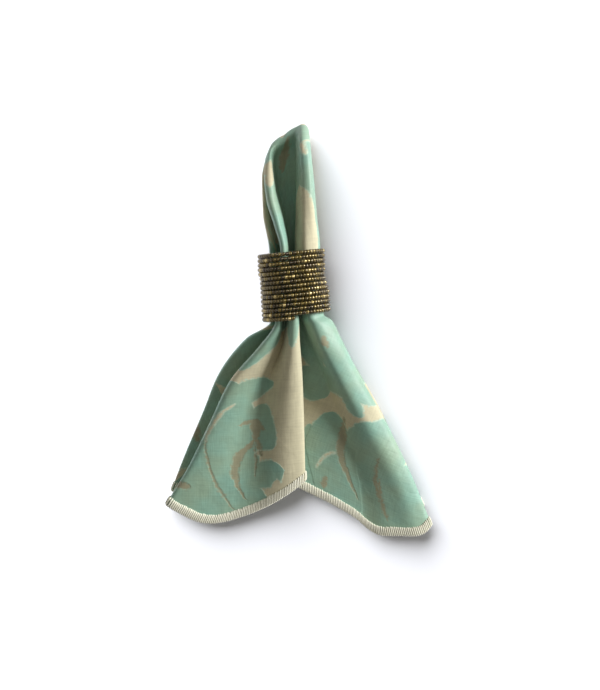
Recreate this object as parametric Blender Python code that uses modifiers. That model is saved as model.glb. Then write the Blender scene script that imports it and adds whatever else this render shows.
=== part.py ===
"""A damask napkin, doubled over and drawn through a coil of seed beads, lying on its back.

+Y is the plume's end, +X is right as seen from above, +Z is up, and z = 0 is the table.
The tables are in millimetres and Blender's metres come last.
"""

import math
from collections import namedtuple

import bpy
import numpy as np

MM = 0.001

# Driving sizes
CLOTH_THICK = 1.0
CENTRE_X = -0.38             # the middle of the tables' own box, which becomes the origin
CENTRE_Y = 0.14
RING_FOOT_Y = 9.0            # the cloth leaves the ring's foot here, on the line x = 0
RING_FOOT_SLOPE = 0.137      # and this much higher for each x
RING_HEAD_Y = 49.4
RING_HEAD_SLOPE = 0.075

COIL_TURNS = 14.5
COIL_PITCH = 2.66
STRAND_THICK = 2.34
COIL_HIGH = 34.4             # outside height of the coil
COIL_MIDDLE_Y = 29.3         # y of its middle where x is the middle of a turn
COIL_SLOPE = 0.128           # each turn climbs this much of y for each x
COIL_STEPS = 24              # points in each turn
COIL_END = 0.25              # the foot end of the wire lies on top

# The coil is pressed out of round: the outside x of its sides, from turn to turn.
Side = namedtuple("Side", "turn left right")
SIDES = [
    Side(0.0, -24.8, 15.0),
    Side(4.0, -24.8, 15.2),
    Side(5.0, -23.7, 15.2),
    Side(6.5, -23.4, 15.2),
    Side(8.0, -23.2, 16.2),
    Side(9.5, -23.0, 17.8),
    Side(12.0, -22.7, 18.3),
    Side(14.5, -22.2, 18.5),
]

ROWS_BETWEEN = 3             # mesh rows from one section to the next
TURN_GAP = 1.5               # between the two layers where the hidden cloth turns back
OPEN_SHARE = 0.4             # where the pleat is open, its points are spread this far
COLUMNS_BETWEEN = 2          # mesh columns for each control point of a section

# The way of a section: 1 is the hem and 0 the ring's foot in the fan, and in the plume 0 is the
# ring's head and 1 the bend at the top. Folded: the hidden ends lie back under their layers.
Place = namedtuple("Place", "name zone way folded")
PLACES = [
    Place("front hem", "fan", 1.0, True),
    Place("front low", "fan", 0.78, True),
    Place("front middle", "fan", 0.52, True),
    Place("front high", "fan", 0.30, True),
    Place("front neck", "fan", 0.11, True),
    Place("front mouth", "fan", 0.03, False),
    Place("front foot", "fan", 0.0, False),
    Place("front ring", "ring", 0.72, False),
    Place("front head", "plume", 0.0, False),
    Place("plume low", "plume", 0.28, False),
    Place("plume middle", "plume", 0.58, False),
    Place("plume high", "plume", 0.84, False),
    Place("plume rim", "plume", 0.94, False),
    Place("bend", "plume", 1.0, False),
    Place("back plume high", "plume", 0.84, False),
    Place("back plume", "plume", 0.45, False),
    Place("back head", "plume", 0.0, False),
    Place("back foot", "fan", 0.0, False),
    Place("back neck", "fan", 0.08, False),
    Place("back high", "fan", 0.28, True),
    Place("back middle", "fan", 0.48, True),
    Place("back low", "fan", 0.78, True),
    Place("back hem", "fan", 0.97, True),
]

# The left fold: x of its edge, height of its upper and lower layer, how far in its crest lies, the
# x and z where the cloth below it turns back, and x and z of its hidden end.
Left = namedtuple("Left", "x top low crest_in turn_x turn_z end_x end_z")
LEFT = [
    Left(-81.4, 9.2, 6.4, 5.0, -40.0, 6.4, -62.0, 4.9),
    Left(-67.6, 11.6, 7.4, 7.0, -20.0, 6.5, -61.0, 5.2),
    Left(-53.8, 16.0, 9.4, 8.0, -16.0, 6.8, -48.5, 6.9),
    Left(-41.8, 20.4, 12.4, 9.0, -16.0, 8.8, -37.0, 9.9),
    Left(-22.6, 25.0, 16.4, 6.0, -12.6, 13.0, -16.0, 12.4),
    Left(-15.2, 26.2, 18.8, 4.6, -12.4, 16.4, -12.6, 14.6),
    Left(-13.9, 26.0, 19.2, 3.4, -12.0, 17.0, -12.0, 15.0),
    Left(-12.0, 27.2, 19.6, 3.2, -11.2, 17.0, -11.2, 15.0),
    Left(-10.8, 27.8, 20.0, 3.4, -10.2, 16.6, -10.4, 14.2),
    Left(-14.4, 26.4, 18.5, 3.8, -12.8, 14.4, -12.8, 12.0),
    Left(-19.2, 23.4, 15.6, 3.8, -16.8, 12.8, -16.8, 10.7),
    Left(-20.6, 18.0, 12.8, 3.2, -18.8, 11.4, -18.8, 10.4),
    Left(-20.4, 14.2, 11.2, 2.6, -18.0, 9.8, -17.8, 9.0),
    Left(-20.2, 9.4, 8.6, 2.0, -16.6, 8.4, -16.0, 8.2),
    Left(-22.2, 2.4, 7.6, 3.6, -18.4, 6.4, -16.8, 6.2),
    Left(-21.6, 1.2, 10.4, 4.6, -16.8, 6.8, -13.0, 6.0),
    Left(-17.6, 9.4, 15.6, 4.0, -13.6, 9.4, -9.0, 6.4),
    Left(-17.1, 9.4, 14.0, 4.4, -10.6, 10.0, -4.6, 8.0),
    Left(-32.0, 3.4, 12.0, 9.0, -15.0, 7.0, -14.0, 9.8),
    Left(-49.6, 0.5, 7.4, 8.0, -13.0, 3.2, -38.0, 7.9),
    Left(-58.4, 0.5, 3.4, 9.0, -15.0, 2.2, -49.0, 4.5),
    Left(-71.6, 0.5, 2.6, 7.0, -28.0, 2.1, -63.0, 3.7),
    Left(-79.0, 0.5, 2.4, 5.0, -36.0, 2.1, -62.0, 3.6),
]

# The middle: the panel, the trough, and the pleat that laps over to the right. The pleat has the x
# where its crest starts, its edge, heights above and below the edge, and its hidden turn.
Middle = namedtuple(
    "Middle", "panel_x panel_z trough_x trough_z rise_x edge_x crest below turn_x turn_z turn_low"
)
MIDDLE = [
    Middle(-57.0, 9.0, -31.0, 8.2, -12.0, 3.2, 15.4, 11.6, -20.0, 9.6, 6.2),
    Middle(-45.0, 9.8, -27.5, 8.2, -12.0, 2.7, 17.8, 12.4, -20.0, 9.6, 6.6),
    Middle(-34.0, 11.2, -24.0, 9.0, -10.5, 2.0, 21.0, 13.6, -15.5, 11.4, 8.0),
    Middle(-23.5, 14.2, -17.6, 10.6, -9.4, 1.1, 25.0, 16.6, -10.0, 13.2, 9.8),
    Middle(-11.7, 17.6, -9.4, 12.6, -7.0, -0.3, 28.8, 20.4, -5.0, 16.8, 12.6),
    Middle(-10.6, 14.6, -7.8, 13.2, -6.2, -0.6, 29.8, 22.8, -4.2, 17.0, 13.4),
    Middle(-10.1, 13.6, -7.2, 13.6, -5.9, -0.7, 30.0, 23.5, -4.0, 17.2, 13.6),
    Middle(-8.4, 16.0, -8.2, 9.6, -6.8, -5.2, 8.6, 8.6, -3.6, 8.6, 8.7),
    Middle(-6.6, 17.6, -6.8, 11.4, -6.2, -5.2, 8.8, 8.5, -4.4, 8.5, 8.9),
    Middle(-9.2, 16.0, -9.8, 7.6, -8.4, -6.7, 5.8, 5.6, -4.8, 5.6, 5.7),
    Middle(-14.2, 14.0, -14.2, 6.8, -12.0, -9.4, 5.0, 4.6, -6.2, 4.4, 4.5),
    Middle(-16.4, 12.4, -15.8, 8.0, -13.4, -10.4, 5.6, 5.0, -6.8, 4.8, 4.9),
    Middle(-17.0, 11.8, -15.0, 10.6, -12.6, -9.6, 9.9, 9.8, -6.4, 9.8, 10.0),
    Middle(-16.4, 8.0, -13.8, 7.0, -11.2, -8.6, 6.6, 6.6, -5.8, 6.6, 6.6),
    Middle(-15.4, 1.8, -12.8, 1.4, -10.2, -8.0, 1.2, 1.2, -5.4, 1.2, 1.2),
    Middle(-15.0, 0.5, -12.4, 0.5, -10.0, -7.6, 0.5, 0.5, -5.2, 0.5, 0.5),
    Middle(-13.6, 5.8, -11.4, 4.6, -9.0, -7.0, 4.0, 3.8, -5.0, 3.6, 3.5),
    Middle(-11.0, 6.0, -9.4, 4.9, -7.4, -5.4, 4.2, 4.0, -3.4, 3.7, 3.5),
    Middle(-17.0, 2.6, -11.6, 2.2, -7.6, -4.6, 2.0, 3.0, -2.6, 3.4, 4.6),
    Middle(-30.0, 0.5, -19.0, 0.5, -12.0, 2.0, 0.5, 2.4, -8.0, 2.4, 4.2),
    Middle(-38.0, 0.5, -27.0, 0.5, -17.0, 13.0, 0.5, 2.3, -9.0, 2.3, 4.0),
    Middle(-50.0, 0.5, -35.0, 0.5, -24.0, 19.0, 0.5, 2.9, -18.0, 2.7, 4.7),
    Middle(-57.0, 0.5, -39.0, 0.5, -26.0, 20.0, 0.5, 3.0, -20.0, 2.8, 4.8),
]

# The right side: the valley, the roll's left flank, its crest, its shoulder, its edge with two
# heights, and below it the place where the cloth turns back and its hidden end.
Roll = namedtuple("Roll", "valley_x valley_z flank_x flank_z crest_x crest_z shoulder_x shoulder_z")
ROLL = [
    Roll(32.0, 7.8, 46.0, 8.8, 60.0, 11.0, 75.0, 11.4),
    Roll(29.0, 8.4, 42.0, 10.2, 52.5, 14.2, 63.5, 15.2),
    Roll(21.6, 8.8, 30.0, 12.6, 37.0, 18.8, 46.2, 19.0),
    Roll(13.0, 10.4, 18.6, 15.0, 22.4, 23.0, 30.4, 23.0),
    Roll(3.6, 12.4, 7.8, 19.0, 11.0, 28.2, 18.6, 26.8),
    Roll(1.4, 12.5, 3.4, 19.6, 7.2, 28.6, 14.4, 26.4),
    Roll(0.8, 12.6, 1.9, 20.0, 5.2, 28.6, 11.2, 25.8),
    Roll(-1.4, 9.2, -1.0, 18.6, 2.8, 28.9, 8.6, 26.3),
    Roll(-2.9, 10.2, -2.4, 18.0, 2.0, 29.0, 8.2, 26.6),
    Roll(-1.6, 6.8, -1.5, 16.0, 1.6, 27.2, 6.6, 26.0),
    Roll(-1.4, 5.4, -1.3, 15.0, 1.2, 24.8, 5.4, 24.2),
    Roll(-1.8, 6.4, -1.3, 14.0, 0.8, 20.4, 4.2, 19.8),
    Roll(-2.6, 10.4, -1.0, 11.8, 1.2, 14.6, 3.9, 14.4),
    Roll(-3.0, 6.6, -0.6, 7.4, 1.8, 8.4, 4.0, 8.6),
    Roll(-2.4, 1.2, 0.0, 1.2, 2.2, 1.2, 4.6, 1.6),
    Roll(-2.4, 0.5, 0.4, 0.5, 3.0, 0.5, 5.8, 0.8),
    Roll(-2.8, 3.5, 0.0, 4.0, 3.0, 5.0, 6.6, 7.8),
    Roll(-1.4, 3.4, 1.6, 3.8, 4.6, 4.7, 8.6, 7.4),
    Roll(2.0, 4.4, 6.0, 2.8, 11.0, 2.8, 16.0, 3.4),
    Roll(8.0, 4.2, 15.0, 0.5, 21.0, 0.5, 27.0, 0.5),
    Roll(20.0, 4.0, 28.0, 0.5, 35.0, 0.5, 42.0, 0.5),
    Roll(26.0, 4.5, 34.0, 0.5, 44.0, 0.5, 57.0, 0.5),
    Roll(28.0, 4.6, 37.0, 0.5, 50.0, 0.5, 66.0, 0.5),
]

Right = namedtuple("Right", "x high low turn_x turn_z end_x end_z")
RIGHT = [
    Right(80.6, 9.8, 6.4, 42.0, 6.4, 66.0, 4.9),
    Right(68.4, 12.0, 7.2, 28.0, 6.5, 61.5, 5.2),
    Right(51.6, 15.0, 8.8, 17.0, 6.8, 46.0, 6.8),
    Right(35.8, 18.4, 10.6, 13.0, 8.8, 31.5, 8.8),
    Right(24.0, 21.4, 12.8, 9.0, 11.6, 13.0, 9.9),
    Right(18.8, 20.6, 15.2, 6.8, 14.4, 7.2, 10.4),
    Right(14.2, 20.0, 16.6, 5.0, 16.0, 4.6, 10.6),
    Right(11.6, 20.2, 16.4, 4.0, 15.8, 3.8, 10.4),
    Right(11.8, 20.4, 16.4, 3.4, 15.8, 3.2, 10.2),
    Right(10.0, 20.6, 13.6, 3.6, 13.4, 2.0, 10.4),
    Right(8.2, 19.0, 12.4, 2.6, 12.2, 1.8, 10.0),
    Right(6.4, 16.2, 12.0, 2.0, 11.8, 1.2, 9.8),
    Right(5.8, 12.6, 10.4, 2.0, 10.0, 1.0, 9.2),
    Right(5.4, 8.6, 8.4, 2.0, 8.2, 1.0, 8.2),
    Right(6.4, 3.2, 6.0, 2.4, 4.8, 1.0, 6.2),
    Right(7.8, 2.8, 6.6, 3.4, 4.8, 0.4, 4.2),
    Right(9.2, 10.2, 12.4, 2.6, 8.0, -3.0, 6.2),
    Right(11.4, 10.2, 12.6, 5.0, 8.0, -1.0, 6.8),
    Right(20.0, 5.0, 8.2, 9.0, 6.2, 8.4, 8.8),
    Right(34.0, 1.6, 5.0, 15.0, 3.4, 29.5, 6.4),
    Right(48.0, 0.6, 3.1, 28.0, 2.3, 43.0, 4.4),
    Right(66.0, 0.5, 2.6, 37.0, 2.1, 60.0, 3.7),
    Right(77.0, 0.5, 2.4, 43.0, 2.1, 62.0, 3.6),
]

# How far each point of a section reaches: its y at the front hem, at the back hem and at the bend.
Reach = namedtuple("Reach", "point front back bend")
REACHES = [
    Reach("left end", -105.0, -103.0, 93.0),
    Reach("left turn low", -106.0, -104.0, 94.4),
    Reach("left turn", -106.0, -104.0, 96.0),
    Reach("left under", -106.0, -102.0, 98.2),
    Reach("left low", -105.2, -101.0, 101.0),
    Reach("left edge", -105.8, -101.0, 103.5),
    Reach("left crest", -109.2, -104.0, 108.6),
    Reach("panel", -119.0, -114.0, 112.6),
    Reach("trough", -111.8, -107.0, 115.2),
    Reach("rise", -101.0, -95.0, 117.0),
    Reach("pleat edge", -89.6, -91.0, 118.2),
    Reach("pleat below", -88.4, -90.6, 119.4),
    Reach("turn high", -87.0, -90.2, 120.6),
    Reach("turn low", -86.0, -90.2, 121.4),
    Reach("valley", -110.4, -95.0, 122.2),
    Reach("flank", -124.6, -110.0, 123.2),
    Reach("roll crest", -124.0, -118.0, 124.4),
    Reach("shoulder", -124.2, -116.0, 123.4),
    Reach("right edge", -118.4, -112.0, 120.8),
    Reach("right low", -118.0, -112.0, 117.4),
    Reach("right turn", -119.0, -112.0, 112.0),
    Reach("right turn low", -119.0, -112.0, 110.4),
    Reach("right end", -118.0, -111.0, 109.0),
]


def turned_back(turn_x, turn_z, end_x, end_z, drop):
    """The point after a turn: straight below it, or half way to the end where nothing is folded."""
    if drop:
        return turn_x, turn_z - drop
    return (turn_x + end_x) / 2, (turn_z + end_z) / 2


def section_points(left, middle, roll, right, drop):
    """x and z of a section's control points, from the hidden left end to the hidden right end."""
    under_x = left.x + left.crest_in / 2
    spread = OPEN_SHARE if middle.turn_x > middle.edge_x else 0.0
    return [
        (left.end_x, left.end_z),
        turned_back(left.turn_x, left.turn_z, left.end_x, left.end_z, drop),
        (left.turn_x, left.turn_z),
        (under_x, left.low),
        (left.x, left.low),
        (left.x, left.top),
        (left.x + left.crest_in, left.top),
        (middle.panel_x, middle.panel_z),
        (middle.trough_x, middle.trough_z),
        (middle.rise_x, middle.crest),
        (middle.edge_x, middle.crest),
        (middle.edge_x + spread * (middle.turn_x - middle.edge_x), middle.below),
        (middle.turn_x, middle.turn_z),
        (middle.turn_x + spread * (roll.valley_x - middle.turn_x), middle.turn_low),
        (roll.valley_x, roll.valley_z),
        (roll.flank_x, roll.flank_z),
        (roll.crest_x, roll.crest_z),
        (roll.shoulder_x, roll.shoulder_z),
        (right.x, right.high),
        (right.x, right.low),
        (right.turn_x, right.turn_z),
        turned_back(right.turn_x, right.turn_z, right.end_x, right.end_z, drop),
        (right.end_x, right.end_z),
    ]


def section_row(place, points, front):
    """A section's control points in space."""
    row = []
    for (x, z), reach in zip(points, REACHES):
        foot = RING_FOOT_Y + RING_FOOT_SLOPE * x
        head = RING_HEAD_Y + RING_HEAD_SLOPE * x
        hem = reach.front if front else reach.back
        start, end = {"fan": (foot, hem), "ring": (foot, head), "plume": (head, reach.bend)}[place.zone]
        row.append((x, start + (end - start) * place.way, z))
    return row


def control_net():
    """All sections' control points: an array of section, point and x, y, z."""
    bend = [place.name for place in PLACES].index("bend")
    net = []
    for index, place in enumerate(PLACES):
        down = 1 if index < bend else -1
        drop = down * TURN_GAP * place.folded
        points = section_points(LEFT[index], MIDDLE[index], ROLL[index], RIGHT[index], drop)
        net.append(section_row(place, points, index <= bend))
    return np.array(net)


def smooth_between(net, steps):
    """Rows through all sections. No row bulges past the two sections it lies between."""
    gaps = np.linalg.norm(np.diff(net, axis=0), axis=2).mean(axis=1)
    at = np.concatenate([[0.0], np.cumsum(gaps)])
    runs = np.diff(net, axis=0) / gaps[:, None, None]
    slopes = np.empty_like(net)
    slopes[0] = runs[0]
    slopes[-1] = runs[-1]
    for i in range(1, len(net) - 1):
        before, after = gaps[i - 1], gaps[i]
        same_way = runs[i - 1] * runs[i] > 0
        first = np.where(same_way, runs[i - 1], 1.0)
        second = np.where(same_way, runs[i], 1.0)
        weights = (2 * after + before) / first + (after + 2 * before) / second
        slopes[i] = np.where(same_way, 3 * (before + after) / np.where(same_way, weights, 1.0), 0.0)
    rows = []
    for i in range(len(net) - 1):
        gap = at[i + 1] - at[i]
        for step in range(steps):
            t = step / steps
            rows.append(
                net[i] * (2 * t**3 - 3 * t**2 + 1)
                + slopes[i] * gap * (t**3 - 2 * t**2 + t)
                + net[i + 1] * (3 * t**2 - 2 * t**3)
                + slopes[i + 1] * gap * (t**3 - t**2)
            )
    rows.append(net[-1])
    return np.array(rows)


def round_corners(points, steps):
    """A curve that starts and ends on the first and last point and rounds every corner between."""
    last = len(points) - 1
    curve = [points[0]]
    for i in range(1, last):
        start = points[0] if i == 1 else (points[i - 1] + points[i]) / 2
        end = points[last] if i == last - 1 else (points[i] + points[i + 1]) / 2
        for step in range(1, steps + 1):
            t = step / steps
            curve.append(start * (1 - t) ** 2 + points[i] * 2 * t * (1 - t) + end * t**2)
    return np.array(curve)


def cloth_grid(rows_between, columns_between):
    """The cloth's middle surface as an array of row, column and x, y, z, in millimetres."""
    net = smooth_between(control_net(), rows_between)
    grid = np.array([round_corners(row, columns_between) for row in net])
    return grid - np.array([CENTRE_X, CENTRE_Y, 0.0])


def make_material(name, colour, roughness, metallic=0.0):
    material = bpy.data.materials.new(name)
    material.use_nodes = True
    shader = material.node_tree.nodes["Principled BSDF"]
    shader.inputs["Base Color"].default_value = (*colour, 1.0)
    shader.inputs["Roughness"].default_value = roughness
    shader.inputs["Metallic"].default_value = metallic
    return material


def make_napkin(collection):
    """The whole cloth as one lofted sheet with its thickness."""
    grid = cloth_grid(ROWS_BETWEEN, COLUMNS_BETWEEN)
    rows, columns = grid.shape[:2]
    corners = [
        (r * columns + c, (r + 1) * columns + c, (r + 1) * columns + c + 1, r * columns + c + 1)
        for r in range(rows - 1)
        for c in range(columns - 1)
    ]
    mesh = bpy.data.meshes.new("napkin")
    mesh.from_pydata((grid.reshape(-1, 3) * MM).tolist(), [], corners)
    mesh.shade_smooth()
    napkin = bpy.data.objects.new("napkin", mesh)
    napkin.data.materials.append(make_material("jacquard cloth", (0.29, 0.46, 0.38), 0.75))
    collection.objects.link(napkin)
    shell = napkin.modifiers.new("cloth thickness", "SOLIDIFY")
    shell.thickness = CLOTH_THICK * MM
    shell.offset = 0.0
    return napkin


def coil_point(turn):
    """A point on the wire: turn 0 is the head end and COIL_TURNS the foot end."""
    angle = 2 * math.pi * (COIL_END + COIL_TURNS - turn)
    turns = [side.turn for side in SIDES]
    left = np.interp(turn, turns, [side.left for side in SIDES])
    right = np.interp(turn, turns, [side.right for side in SIDES])
    across = (right - left - STRAND_THICK) / 2 * math.cos(angle)
    along = (COIL_TURNS / 2 - turn) * COIL_PITCH
    x = (left + right) / 2 - CENTRE_X + across
    y = COIL_MIDDLE_Y - CENTRE_Y + along + across * COIL_SLOPE
    z = COIL_HIGH / 2 + (COIL_HIGH - STRAND_THICK) / 2 * math.sin(angle)
    return x, y, z


def make_bead_coil(collection):
    """The coil as one strand whose turns lie side by side."""
    count = int(COIL_TURNS * COIL_STEPS) + 1
    curve = bpy.data.curves.new("bead_coil", "CURVE")
    curve.dimensions = "3D"
    curve.bevel_depth = STRAND_THICK / 2 * MM
    curve.bevel_resolution = 2
    curve.use_fill_caps = True
    spline = curve.splines.new("POLY")
    spline.points.add(count - 1)
    for i in range(count):
        x, y, z = coil_point(i / COIL_STEPS)
        spline.points[i].co = (x * MM, y * MM, z * MM, 1.0)
    coil = bpy.data.objects.new("bead_coil", curve)
    coil.data.materials.append(make_material("glass beads", (0.16, 0.11, 0.045), 0.25))
    collection.objects.link(coil)
    return coil


def main():
    for old in list(bpy.data.objects):
        bpy.data.objects.remove(old)
    collection = bpy.data.collections.new("napkin in a ring")
    bpy.context.scene.collection.children.link(collection)
    make_napkin(collection)
    make_bead_coil(collection)


main()
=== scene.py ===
# %% [markdown]
# # A napkin in a ring of beads
#
# A square damask napkin is pinched at its middle and drawn through a ring, so that the doubled
# middle stands out of the ring as a pointed plume and the corners spread below it as a fan.
# The ring is a springy wire strung with small glass beads and wound in a coil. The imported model
# already has both as plain solids. This lesson replaces them with a fine sheet of cloth, its
# sewn hem, and every bead of the coil.

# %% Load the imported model
import math
from collections import namedtuple

import bpy
import numpy as np
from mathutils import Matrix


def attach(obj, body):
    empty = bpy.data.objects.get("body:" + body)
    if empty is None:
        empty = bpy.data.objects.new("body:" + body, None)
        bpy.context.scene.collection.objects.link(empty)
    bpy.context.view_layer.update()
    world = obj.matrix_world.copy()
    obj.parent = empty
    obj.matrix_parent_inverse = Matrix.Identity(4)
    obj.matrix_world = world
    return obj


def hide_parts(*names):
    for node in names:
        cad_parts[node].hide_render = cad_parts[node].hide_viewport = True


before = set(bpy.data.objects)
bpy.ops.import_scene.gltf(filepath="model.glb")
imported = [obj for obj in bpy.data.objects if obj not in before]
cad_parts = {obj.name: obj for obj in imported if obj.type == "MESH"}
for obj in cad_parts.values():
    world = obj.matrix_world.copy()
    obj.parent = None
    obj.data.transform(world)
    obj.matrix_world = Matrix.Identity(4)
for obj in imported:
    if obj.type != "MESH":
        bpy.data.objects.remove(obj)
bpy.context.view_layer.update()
print("CAD nodes:", sorted(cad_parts))

# %% [markdown]
# ## Where the camera stands
#
# The object was photographed from nearly straight above, from a little more than half a metre.
# The sizes below are in millimetres, in the tables' own coordinates. The middle of the object's
# box is taken off at the end, as the solids' own source does.

# %% The camera
MM = 0.001
CENTRE = np.array([-0.38, 0.14, 0.0])  # middle of the tables' box, which becomes the origin
CAMERA_AT = (0.3, 37.8, 600.0)
CAMERA_AIM_Y = -8.3  # where its line of sight meets the surface
LENS = 51.05  # mm, with the 36 mm of the film along the picture's long side


def in_scene(points):
    """Places of the tables as places in the scene, in metres from its origin."""
    return (np.asarray(points) - CENTRE) * MM


bpy.ops.object.camera_add()
camera = bpy.context.object
camera.name = "camera"
camera.location = in_scene(CAMERA_AT)
camera.rotation_euler = (math.atan2(CAMERA_AIM_Y - CAMERA_AT[1], CAMERA_AT[2]), 0.0, 0.0)
camera.data.lens = LENS
camera.data.sensor_width = 36.0
camera.data.clip_start = 0.01
bpy.context.scene.camera = camera
print("camera tilts", round(math.degrees(camera.rotation_euler[0]), 1), "degrees from straight down")

# %% [markdown]
# ## The folds as tables
#
# Cloth keeps its length, so its folds are best described by cross sections: where each fold
# turns, and how high it lies there. The napkin has one section for each place on the way from
# the front hem, up through the ring, round the tip of the plume and down the back to the other
# hem. The same tables made the solid, so the fine sheet lies on the same folds.

# %% The sections from hem to hem, in millimetres
def named_rows(names, rows):
    """A table whose values are read by name: row.x is the x of a row."""
    kind = namedtuple("Row", names)
    return [kind(*row) for row in rows]


RING_FOOT_Y = 9.0  # the cloth leaves the ring's foot here, on the line x = 0
RING_FOOT_SLOPE = 0.137  # and this much higher for each x
RING_HEAD_Y = 49.4
RING_HEAD_SLOPE = 0.075
TURN_GAP = 1.5  # between the two layers where the hidden cloth turns back
OPEN_SHARE = 0.4  # where the pleat is open, its points are spread this far

# The way of a section: 1 is the hem and 0 the ring's foot in the fan, and in the plume 0 is the
# ring's head and 1 the bend at the top. Folded: the hidden ends lie back under their layers.
PLACES = named_rows("name zone way folded", [
    ("front hem", "fan", 1.0, True),
    ("front low", "fan", 0.78, True),
    ("front middle", "fan", 0.52, True),
    ("front high", "fan", 0.30, True),
    ("front neck", "fan", 0.11, True),
    ("front mouth", "fan", 0.03, False),
    ("front foot", "fan", 0.0, False),
    ("front ring", "ring", 0.72, False),
    ("front head", "plume", 0.0, False),
    ("plume low", "plume", 0.28, False),
    ("plume middle", "plume", 0.58, False),
    ("plume high", "plume", 0.84, False),
    ("plume rim", "plume", 0.94, False),
    ("bend", "plume", 1.0, False),
    ("back plume high", "plume", 0.84, False),
    ("back plume", "plume", 0.45, False),
    ("back head", "plume", 0.0, False),
    ("back foot", "fan", 0.0, False),
    ("back neck", "fan", 0.08, False),
    ("back high", "fan", 0.28, True),
    ("back middle", "fan", 0.48, True),
    ("back low", "fan", 0.78, True),
    ("back hem", "fan", 0.97, True),
])

print(len(PLACES), "sections")

# %% The left fold
# The x of its edge, the height of its upper and lower layer, how far in its crest lies, the x
# and z where the cloth below it turns back, and the x and z of its hidden end.
LEFT = named_rows("x top low crest_in turn_x turn_z end_x end_z", [
    (-81.4, 9.2, 6.4, 5.0, -40.0, 6.4, -62.0, 4.9),
    (-67.6, 11.6, 7.4, 7.0, -20.0, 6.5, -61.0, 5.2),
    (-53.8, 16.0, 9.4, 8.0, -16.0, 6.8, -48.5, 6.9),
    (-41.8, 20.4, 12.4, 9.0, -16.0, 8.8, -37.0, 9.9),
    (-22.6, 25.0, 16.4, 6.0, -12.6, 13.0, -16.0, 12.4),
    (-15.2, 26.2, 18.8, 4.6, -12.4, 16.4, -12.6, 14.6),
    (-13.9, 26.0, 19.2, 3.4, -12.0, 17.0, -12.0, 15.0),
    (-12.0, 27.2, 19.6, 3.2, -11.2, 17.0, -11.2, 15.0),
    (-10.8, 27.8, 20.0, 3.4, -10.2, 16.6, -10.4, 14.2),
    (-14.4, 26.4, 18.5, 3.8, -12.8, 14.4, -12.8, 12.0),
    (-19.2, 23.4, 15.6, 3.8, -16.8, 12.8, -16.8, 10.7),
    (-20.6, 18.0, 12.8, 3.2, -18.8, 11.4, -18.8, 10.4),
    (-20.4, 14.2, 11.2, 2.6, -18.0, 9.8, -17.8, 9.0),
    (-20.2, 9.4, 8.6, 2.0, -16.6, 8.4, -16.0, 8.2),
    (-22.2, 2.4, 7.6, 3.6, -18.4, 6.4, -16.8, 6.2),
    (-21.6, 1.2, 10.4, 4.6, -16.8, 6.8, -13.0, 6.0),
    (-17.6, 9.4, 15.6, 4.0, -13.6, 9.4, -9.0, 6.4),
    (-17.1, 9.4, 14.0, 4.4, -10.6, 10.0, -4.6, 8.0),
    (-32.0, 3.4, 12.0, 9.0, -15.0, 7.0, -14.0, 9.8),
    (-49.6, 0.5, 7.4, 8.0, -13.0, 3.2, -38.0, 7.9),
    (-58.4, 0.5, 3.4, 9.0, -15.0, 2.2, -49.0, 4.5),
    (-71.6, 0.5, 2.6, 7.0, -28.0, 2.1, -63.0, 3.7),
    (-79.0, 0.5, 2.4, 5.0, -36.0, 2.1, -62.0, 3.6),
])

print("left edge at the hem:", LEFT[0].x)

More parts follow.
